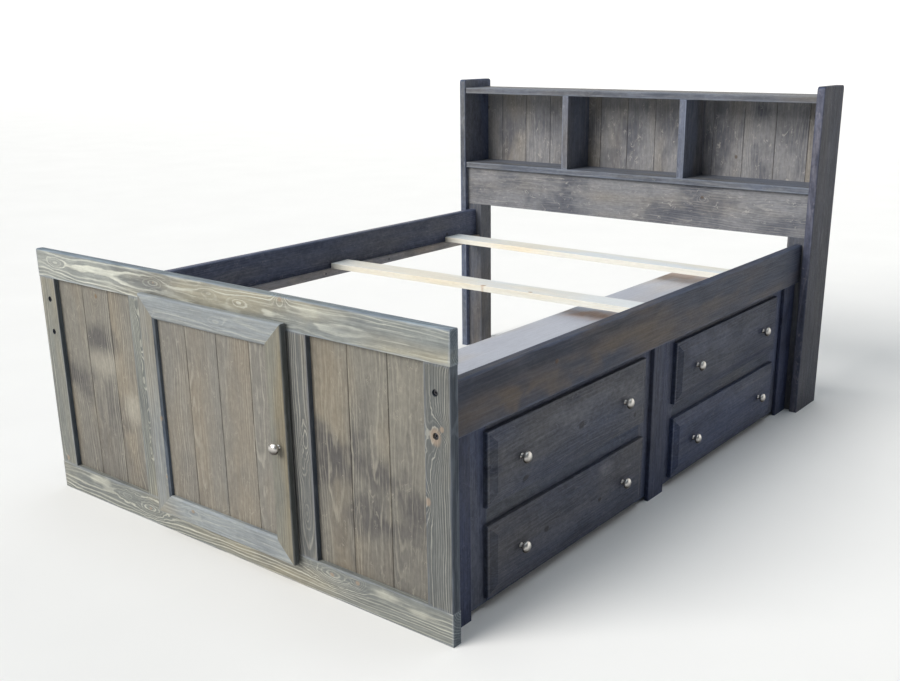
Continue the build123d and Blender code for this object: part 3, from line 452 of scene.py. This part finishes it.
# ---------------------------------------------------------------- knobs
def smooth_mesh(name, points, faces, material):
    """A new smooth-shaded piece, linked into the scene."""
    mesh = bpy.data.meshes.new(name)
    mesh.from_pydata(points, [], faces)
    mesh.validate()
    mesh.shade_smooth()
    mesh.materials.append(material)
    piece = bpy.data.objects.new(name, mesh)
    bpy.context.collection.objects.link(piece)
    return piece


# a knob's outline as turned: (radius, distance from the face) in metres
KNOB_PROFILE = ((0.0, 0.0), (0.0070, 0.0), (0.0074, 0.0004), (0.0073, 0.0010), (0.0066, 0.0016),
                (0.0058, 0.0030), (0.0053, 0.0050), (0.0055, 0.0070), (0.0070, 0.0088),
                (0.0100, 0.0102), (0.0130, 0.0119), (0.0147, 0.0139), (0.0152, 0.0160),
                (0.0148, 0.0181), (0.0134, 0.0204), (0.0110, 0.0224), (0.0078, 0.0238),
                (0.0040, 0.0246), (0.0, 0.0248))
KNOB_TURNS = 40         # points round a knob


def turned_knobs(node, body, seats, outward, across, material):
    """Knobs lathed at the seats, standing outward; across is any direction along the face."""
    outward, across = Vector(outward), Vector(across)
    other = outward.cross(across)
    points, faces = [], []
    for seat in seats:
        rings = []
        for radius, out in KNOB_PROFILE:
            count = KNOB_TURNS if radius else 1
            rings.append(range(len(points), len(points) + count))
            for i in range(count):
                angle = 2 * math.pi * i / KNOB_TURNS
                spoke = across * math.cos(angle) + other * math.sin(angle)
                points.append(Vector(seat) + outward * out + spoke * radius)
        for inner, outer in zip(rings, rings[1:]):
            for i in range(KNOB_TURNS):
                k = (i + 1) % KNOB_TURNS
                if len(inner) == 1:
                    faces.append((inner[0], outer[k], outer[i]))
                elif len(outer) == 1:
                    faces.append((inner[i], inner[k], outer[0]))
                else:
                    faces.append((inner[i], inner[k], outer[k], outer[i]))
    knob = smooth_mesh(node + "_turned", points, faces, material)
    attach(knob, body)
    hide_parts(node)


# ---------------------------------------------------------------- the boards
PLANK_PITCH = 0.12              # from one plank's seam to the next, in metres
# where one seam of each row lies across the bed; the left panel mirrors the right one
PANEL_SEAM, DOOR_SEAM, BACK_SEAM = 0.448, 0.026, 0.06
BOX_WALL = 0.012                # thickness of a drawer's box
SEED_STEP, FIRST_SEED = 31, 7   # a row's planks count on from its seed, so the seeds lie far apart

FLANK_SHADE = (0.4, 0.49, 0.67)        # painted shade on the footboard's narrow faces: how much darker they are in each channel
SLAT_SHADOW = (178, 146, 122)    # painted shadow of the slats on the chest's top, brown with their bounced light

# each board's grain, stain, knots and patches, as wood() takes them
PLY = dict(look="ply", depth=0.12, knotty=0.05)
BOARDS = {
    "footboard_top_rail": dict(
        run="x", across="z", look="frame", tilt=0.01, skew=0.02, tone_and_shade=(1.2, 1.22, 1.25),
        # its flank factor paints bluish shade on the rail's top and bottom faces
        flank_light_and_shade=(0.56, 0.68, 0.86),
        knots=((-0.218, 0.7, 0.003, 0.012), (0.0, 0.703, 0.0, 0.01), (0.109, 0.694, 0.0, 0.01),
               (-0.663, 0.698, 0.0, 0.012)),
        patches=(("late", -0.63, 0.7, 0.2, 0.06, 0.2), ("blotch", -0.2, 0.69, 0.12, 0.02, 0.5),
                 ("warm", 0.1, 0.7, 0.2, 0.02, 0.6), ("late", 0.35, 0.71, 0.08, 0.008, 0.3))),
    "footboard_bottom_rail": dict(
        run="x", across="z", look="frame", pith=0.03, tilt=0.01, skew=-0.03,
        knots=((-0.332, 0.04, 0.005, 0.02), (-0.442, 0.052, 0.0, 0.014), (0.381, 0.062, 0.006, 0.024)),
        patches=(("late", -0.571, 0.066, 0.04, 0.01, 0.55), ("late", 0.573, 0.062, 0.05, 0.01, 0.6),
                 ("late", 0.643, 0.052, 0.04, 0.008, 0.55))),
    "footboard_left_stile": dict(run="z", across="x", look="frame", pith=-0.1, depth=0.03, tilt=0.0,
                                 tone_and_shade=(0.92, 0.91, 0.9), flank_light_and_shade=FLANK_SHADE, knots=((0.1, -0.724, 0.008, 0.012),)),
    "footboard_right_stile": dict(run="z", across="x", look="frame", pith=-0.1, depth=0.03, tilt=0.0,
                                  tone_and_shade=(0.6, 0.6, 0.63), flank_light_and_shade=FLANK_SHADE,
                                  knots=((0.491, 0.712, 0.018, 0.018), (0.335, 0.688, 0.009, 0.014))),
    "footboard_left_mullion": dict(run="z", across="x", look="frame", tilt=0.05, depth=0.02, flank_light_and_shade=FLANK_SHADE,
                                   tone_and_shade=(0.88, 0.88, 0.87),
                                   knots=((0.631, -0.309, 0.0, 0.012), (0.522, -0.3, 0.0, 0.01),
                                          (0.42, -0.305, 0.0, 0.01), (0.32, -0.298, 0.0, 0.012),
                                          (0.22, -0.303, 0.0, 0.01))),
    "footboard_right_mullion": dict(run="z", across="x", look="frame", pith=0.02, tilt=0.04, depth=0.02,
                                    tone_and_shade=(0.72, 0.7, 0.72), flank_light_and_shade=FLANK_SHADE,
                                    knots=((0.393, 0.317, 0.0, 0.014), (0.33, 0.3, 0.0, 0.01),
                                           (0.2, 0.305, 0.0, 0.01))),
    "footboard_left_planks": dict(
        run="z", across="x", look="plank", planks=(-PANEL_SEAM, PLANK_PITCH), tone_and_shade=(0.97, 0.97, 0.96),
        patches=(("blotch", 0.497, -0.513, 0.035, 0.06, 0.85), ("blotch", 0.381, -0.634, 0.045, 0.06, 0.95),
                 ("blotch", 0.298, -0.47, 0.06, 0.08, 0.6), ("blotch", 0.12, -0.55, 0.12, 0.15, 0.45),
                 ("late", 0.324, -0.385, 0.04, 0.035, 0.6), ("late", 0.43, -0.5, 0.03, 0.06, 0.4))),
    "footboard_right_planks": dict(
        run="z", across="x", look="plank", planks=(PANEL_SEAM, PLANK_PITCH), tone_and_shade=(0.95, 0.95, 0.93),
        patches=(("blotch", 0.2, 0.51, 0.22, 0.4, 0.45), ("blotch", 0.366, 0.4, 0.07, 0.08, 0.95),
                 ("blotch", 0.349, 0.557, 0.03, 0.05, 0.9), ("blotch", 0.3, 0.635, 0.04, 0.06, 0.95),
                 ("blotch", 0.241, 0.49, 0.05, 0.07, 0.8), ("blotch", 0.235, 0.6, 0.03, 0.06, 0.7),
                 ("warm", 0.56, 0.4, 0.06, 0.05, 0.6))),
    "door_top_rail": dict(run="x", across="z", look="door", pith=0.02,
                          knots=((0.046, 0.64, 0.0, 0.012), (-0.224, 0.624, 0.0, 0.01))),
    "door_bottom_rail": dict(run="x", across="z", look="door", pith=-0.03,
                             knots=((-0.11, 0.1, 0.006, 0.012),)),
    "door_left_stile": dict(run="z", across="x", look="door", pith=0.03, tone_and_shade=(0.85, 0.83, 0.81),
                            flank_light_and_shade=FLANK_SHADE, knots=((0.341, -0.209, 0.006, 0.01), (0.175, -0.21, 0.004, 0.01))),
    "door_right_stile": dict(run="z", across="x", look="door", pith=0.12, depth=0.02, tilt=0.0,
                             tone_and_shade=(0.77, 0.7, 0.58), flank_light_and_shade=FLANK_SHADE),
    "door_planks": dict(run="z", across="x", look="plank", planks=(DOOR_SEAM, PLANK_PITCH),
                        tone_and_shade=(0.95, 0.96, 0.98)),
    # its tone brightens it: painted light on its inner face, which lies in shade; the flank factor keeps its
    # front and back edges darker
    "headboard_left_side": dict(run="z", across="y", look="side", tone_and_shade=(1.7, 1.75, 1.88),
                                flank_light_and_shade=(0.82, 0.81, 0.73)),
    # its tone darkens it, painted shade on its wide faces, and its flank factor paints light back onto its
    # front and back edges
    "headboard_right_side": dict(run="z", across="y", look="side", tone_and_shade=(0.56, 0.54, 0.58),
                                 flank_light_and_shade=(2.7, 2.6, 2.4), patches=(("blotch", 0.3, 1.0, 0.45, 0.3, 0.6),)),
    "headboard_left_leg": dict(run="z", across="x", look="shelf", tone_and_shade=(0.75, 0.72, 0.7)),
    "headboard_right_leg": dict(run="z", across="x", look="shelf", tone_and_shade=(0.75, 0.72, 0.7)),
    "headboard_top_shelf": dict(run="x", across="y", look="shelf"),
    "headboard_bottom_shelf": dict(run="x", across="y", look="shelf", tone_and_shade=(1.03, 1.06, 1.1)),
    "headboard_dividers": dict(run="z", across="y", look="shelf", tone_and_shade=(1.15, 1.17, 1.25)),
    "headboard_header": dict(
        run="x", across="z", look="header", pith=0.02, tilt=0.03,
        patches=(("blotch", -0.246, 0.72, 0.07, 0.06, 0.85), ("blotch", -0.287, 0.642, 0.09, 0.05, 0.8),
                 ("blotch", 0.306, 0.682, 0.08, 0.07, 0.95), ("blotch", 0.173, 0.648, 0.07, 0.05, 0.7),
                 ("blotch", -0.529, 0.732, 0.07, 0.05, 0.7), ("blotch", 0.641, 0.645, 0.12, 0.06, 0.6))),
    "headboard_back_planks": dict(
        run="z", across="x", look="header", planks=(BACK_SEAM, PLANK_PITCH), tone_and_shade=(1.13, 1.11, 1.08),
        patches=(("blotch", 0.915, -0.622, 0.07, 0.06, 0.7), ("blotch", 0.951, -0.441, 0.06, 0.06, 0.7),
                 ("blotch", 0.96, -0.203, 0.06, 0.05, 0.5), ("blotch", 0.944, -0.04, 0.06, 0.06, 0.7),
                 ("blotch", 0.97, 0.139, 0.06, 0.06, 0.7), ("blotch", 0.827, -0.084, 0.06, 0.07, 0.5),
                 ("blotch", 0.93, 0.319, 0.1, 0.06, 0.8), ("blotch", 1.036, 0.483, 0.03, 0.03, 0.8),
                 ("blotch", 0.954, 0.593, 0.05, 0.04, 0.6))),
    "left_side_rail": dict(run="y", across="z", look="side", tone_and_shade=(1.26, 1.27, 1.38)),
    "right_side_rail": dict(
        run="y", across="z", look="rail", tone_and_shade=(0.82, 0.86, 0.95), knots=((-0.603, 0.553, 0.007, 0.014),),
        patches=(("warm", -0.631, 0.5, 0.16, 0.022, 0.8), ("warm", -0.78, 0.516, 0.14, 0.018, 0.8),
                 ("warm", -0.3, 0.542, 0.13, 0.022, 0.9), ("warm", -0.906, 0.52, 0.1, 0.03, 0.5),
                 ("blotch", -0.45, 0.575, 0.3, 0.02, 0.6), ("blotch", -0.85, 0.57, 0.2, 0.02, 0.6),
                 ("warm", 0.25, 0.53, 0.16, 0.015, 0.5))),
    # their tone brightens them: painted light on their inner faces, which lie in shade
    "ledger_strips": dict(run="y", across="z", look="shelf", tone_and_shade=(1.9, 1.68, 1.46)),
    # the slats' flank factors paint warmer light on their front and back edges
    "slat_1": dict(run="x", across="y", look="slat", flank_light_and_shade=(1.05, 1.0, 0.9),
                   knots=((-0.018, 0.088, 0.009, 0.014), (0.163, 0.098, 0.007, 0.012))),
    "slat_2": dict(run="x", across="y", look="slat", tone_and_shade=(0.93, 0.95, 0.97), flank_light_and_shade=(1.12, 1.03, 0.9)),
    # the chest's tones darken and blue its boards, the posts and bottom rails most: painted shade on the
    # bed's shaded side
    "chest_stiles": dict(run="z", across="y", look="side", tone_and_shade=(0.9, 0.95, 1.12),
                         patches=(("late", 0.2, -0.94, 0.06, 0.02, 0.4),
                                  ("late", 0.1, -0.93, 0.03, 0.015, 0.4),
                                  ("warm", 0.35, -0.95, 0.05, 0.03, 0.6))),
    "chest_posts": dict(run="z", across="y", look="side", tone_and_shade=(0.54, 0.59, 0.8)),
    "chest_bottom_rails": dict(run="y", across="z", look="side", tone_and_shade=(0.7, 0.74, 0.88)),
    "chest_middle_rails": dict(run="y", across="z", look="side", tone_and_shade=(0.8, 0.84, 0.92)),
    "chest_top_rails": dict(run="y", across="z", look="side", tone_and_shade=(0.9, 0.9, 0.92)),
    "chest_end_panels": dict(run="z", across="x", look="side"),
    "chest_partition": dict(run="z", across="x", look="raw"),
    "chest_back": dict(run="y", across="z", **PLY),
    "chest_top": dict(run="y", across="x", **PLY, tone_and_shade=(0.9, 0.9, 0.91),
                      # painted shadows of the two slats
                      patches=((SLAT_SHADOW, 0.18, 0.36, 0.05, 0.12, 0.85),
                               (SLAT_SHADOW, 0.85, 0.3, 0.06, 0.12, 0.75))),
    "drawer_runners": dict(run="x", across="z", look="raw"),
}
# the drawer fronts, numbered as the CAD numbers them
FRONTS = {
    1: dict(tone_and_shade=(0.99, 0.98, 1.0), knots=((-0.476, 0.353, 0.011, 0.016), (-0.722, 0.29, 0.011, 0.016)),
            patches=(("late", -0.5, 0.4, 0.15, 0.02, 0.35), ("late", -0.25, 0.36, 0.1, 0.03, 0.3),
                     ("blotch", -0.5, 0.3, 0.2, 0.03, 0.4))),
    2: dict(tone_and_shade=(0.56, 0.61, 0.78),
            patches=(("late", 0.15, 0.41, 0.06, 0.04, 0.6), ("late", 0.33, 0.4, 0.1, 0.03, 0.4),
                     ("late", 0.57, 0.38, 0.12, 0.02, 0.35), ("blotch", 0.6, 0.3, 0.1, 0.05, 0.5))),
    3: dict(tone_and_shade=(0.86, 0.84, 0.87), knots=((-0.629, 0.122, 0.01, 0.014), (-0.375, 0.112, 0.008, 0.012)),
            patches=(("late", -0.348, 0.187, 0.03, 0.02, 0.7), ("warm", -0.3, 0.15, 0.12, 0.03, 0.6),
                     ("late", -0.5, 0.1, 0.15, 0.03, 0.25))),
    4: dict(tone_and_shade=(0.72, 0.79, 1.02), patches=(("late", 0.5, 0.17, 0.12, 0.02, 0.3),)),
}
for number in DRAWERS:
    box_low, box_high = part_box(f"drawer_{number}_box")
    BOARDS[f"drawer_{number}_front"] = dict(run="y", across="z", look="side", **FRONTS[number])
    BOARDS[f"drawer_{number}_bottom"] = dict(run="y", across="x", **PLY)
    BOARDS[f"drawer_{number}_box"] = dict(run="y", across="z", look="raw",
                                          turned=(box_low[1] + BOX_WALL, box_high[1] - BOX_WALL))

NICKEL = metal("satin_nickel", (222, 218, 212), rough=0.33, wear=0.35, reflection_below=0.9)
STEEL = metal("dark_steel", (92, 92, 96), rough=0.42, wear=0.6)
CATCH = plastic("catch_plastic", (78, 62, 52))
FITTINGS = {"door_knob": NICKEL, "door_catch": CATCH, "door_hinge_leaves": STEEL,
            "frame_hinge_leaves": STEEL, "hinge_pins": STEEL, "rail_bolts": STEEL, "ledger_screws": STEEL}
for number in DRAWERS:
    FITTINGS[f"drawer_{number}_knobs"] = NICKEL


def dress_nodes():
    """Give every CAD node its material."""
    for order, name in enumerate(sorted(NODES)):
        if name in BOARDS:
            material = wood(name, seed=FIRST_SEED + SEED_STEP * order, **BOARDS[name])
        else:
            material = FITTINGS[name]
        for slot in NODES[name].material_slots:
            slot.material = material


def fit_knobs():
    """Replace the CAD knobs, which stand on the door's front and in pairs on the drawers' fronts."""
    low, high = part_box("door_knob")
    seat = ((low[0] + high[0]) / 2, high[1], (low[2] + high[2]) / 2)
    turned_knobs("door_knob", "door", [seat], (0, -1, 0), (1, 0, 0), NICKEL)
    for number in DRAWERS:
        node = f"drawer_{number}_knobs"
        low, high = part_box(node)
        half = (high[2] - low[2]) / 2
        seats = [(low[0], y, low[2] + half) for y in (low[1] + half, high[1] - half)]
        turned_knobs(node, f"drawer_{number}", seats, (1, 0, 0), (0, 1, 0), NICKEL)


# ---------------------------------------------------------------- floor, light, camera
def floor_sheet():
    """A pale studio sweep: flat under the bed, curving up far behind it."""
    half, near, far, rise, top, steps = 60.0, -90.0, 22.0, 8.0, 30.0, 24
    profile = [(near, 0.0)]
    for i in range(steps + 1):
        angle = math.pi / 2 * i / steps
        profile.append((far + rise * math.sin(angle), rise * (1 - math.cos(angle))))
    profile.append((far + rise, top))
    points = [(x, y, z) for y, z in profile for x in (-half, half)]
    faces = [(2 * i, 2 * i + 1, 2 * i + 3, 2 * i + 2) for i in range(len(profile) - 1)]
    g = Graph("floor_paint")
    mottle = g.speckle(2.0, detail=4)
    shade = g.mix(mottle, srgb(234, 233, 231), srgb(240, 239, 237))
    paint = g.finish(shade, 0.85, mottle, relief=0.0002, specular=0.2)
    smooth_mesh("floor", points, faces, paint)


def sun(name, place, aim, strength, colour, width):
    """A distant light that shines from place towards aim, and is width degrees across."""
    data = bpy.data.lights.new(name, "SUN")
    data.energy = strength
    data.color = colour
    data.angle = math.radians(width)
    light = bpy.data.objects.new(name, data)
    light.location = place
    light.rotation_mode = "QUATERNION"
    light.rotation_quaternion = (Vector(aim) - Vector(place)).to_track_quat("-Z", "Y")
    bpy.context.collection.objects.link(light)


def studio_world():
    """A dim bluish light from all round, which the camera itself sees as a nearly white backdrop."""
    world = bpy.data.worlds.new("studio")
    world.use_nodes = True
    nodes, links = world.node_tree.nodes, world.node_tree.links
    light = nodes["Background"]
    light.inputs["Color"].default_value = (0.8, 0.89, 1.0, 1.0)
    light.inputs["Strength"].default_value = 0.16
    backdrop = nodes.new("ShaderNodeBackground")
    backdrop.inputs["Color"].default_value = (0.955, 0.955, 0.95, 1.0)
    either = nodes.new("ShaderNodeMixShader")
    links.new(nodes.new("ShaderNodeLightPath").outputs["Is Camera Ray"], either.inputs["Fac"])
    links.new(light.outputs[0], either.inputs[1])
    links.new(backdrop.outputs[0], either.inputs[2])
    links.new(either.outputs[0], nodes["World Output"].inputs["Surface"])
    bpy.context.scene.world = world
    bpy.context.scene.view_settings.view_transform = "Standard"


CAMERA_AT = Vector((2.05423, -2.64615, 1.28238))
AZIMUTH, ELEVATION, ROLL = (math.radians(angle) for angle in (37.978, 17.758, -0.438))
SENSOR_WIDTH = 36.0                 # millimetres, as is the lens
FOCAL_SHARE = 1.181367              # the lens, as a share of the sensor's width
SHIFT = (-0.0213556, 0.0450778)     # the picture is cut a little off the lens's middle


def photo_camera():
    """The camera at the photograph's viewing angle, looking down at the bed from its drawer side."""
    back = Vector((math.sin(AZIMUTH) * math.cos(ELEVATION), -math.cos(AZIMUTH) * math.cos(ELEVATION),
                   math.sin(ELEVATION)))
    level = Vector((math.cos(AZIMUTH), math.sin(AZIMUTH), 0))
    upright = back.cross(level)
    right = math.cos(ROLL) * level + math.sin(ROLL) * upright
    up = math.cos(ROLL) * upright - math.sin(ROLL) * level
    data = bpy.data.cameras.new("camera")
    data.sensor_width = SENSOR_WIDTH
    data.lens = SENSOR_WIDTH * FOCAL_SHARE
    data.shift_x, data.shift_y = SHIFT
    camera = bpy.data.objects.new("camera", data)
    turn = Matrix((right, up, back)).transposed()
    camera.matrix_world = Matrix.Translation(CAMERA_AT) @ turn.to_4x4()
    bpy.context.collection.objects.link(camera)
    bpy.context.scene.camera = camera


dress_nodes()
fit_knobs()
floor_sheet()
sun("key", (-2.6, -6.0, 4.6), (0, 0, 0.2), strength=3.55, colour=(1.0, 0.975, 0.94), width=40)
sun("overhead", (0, 0, 6), (0, 0, 0), strength=0.85, colour=(0.84, 0.93, 1.0), width=50)
studio_world()
photo_camera()
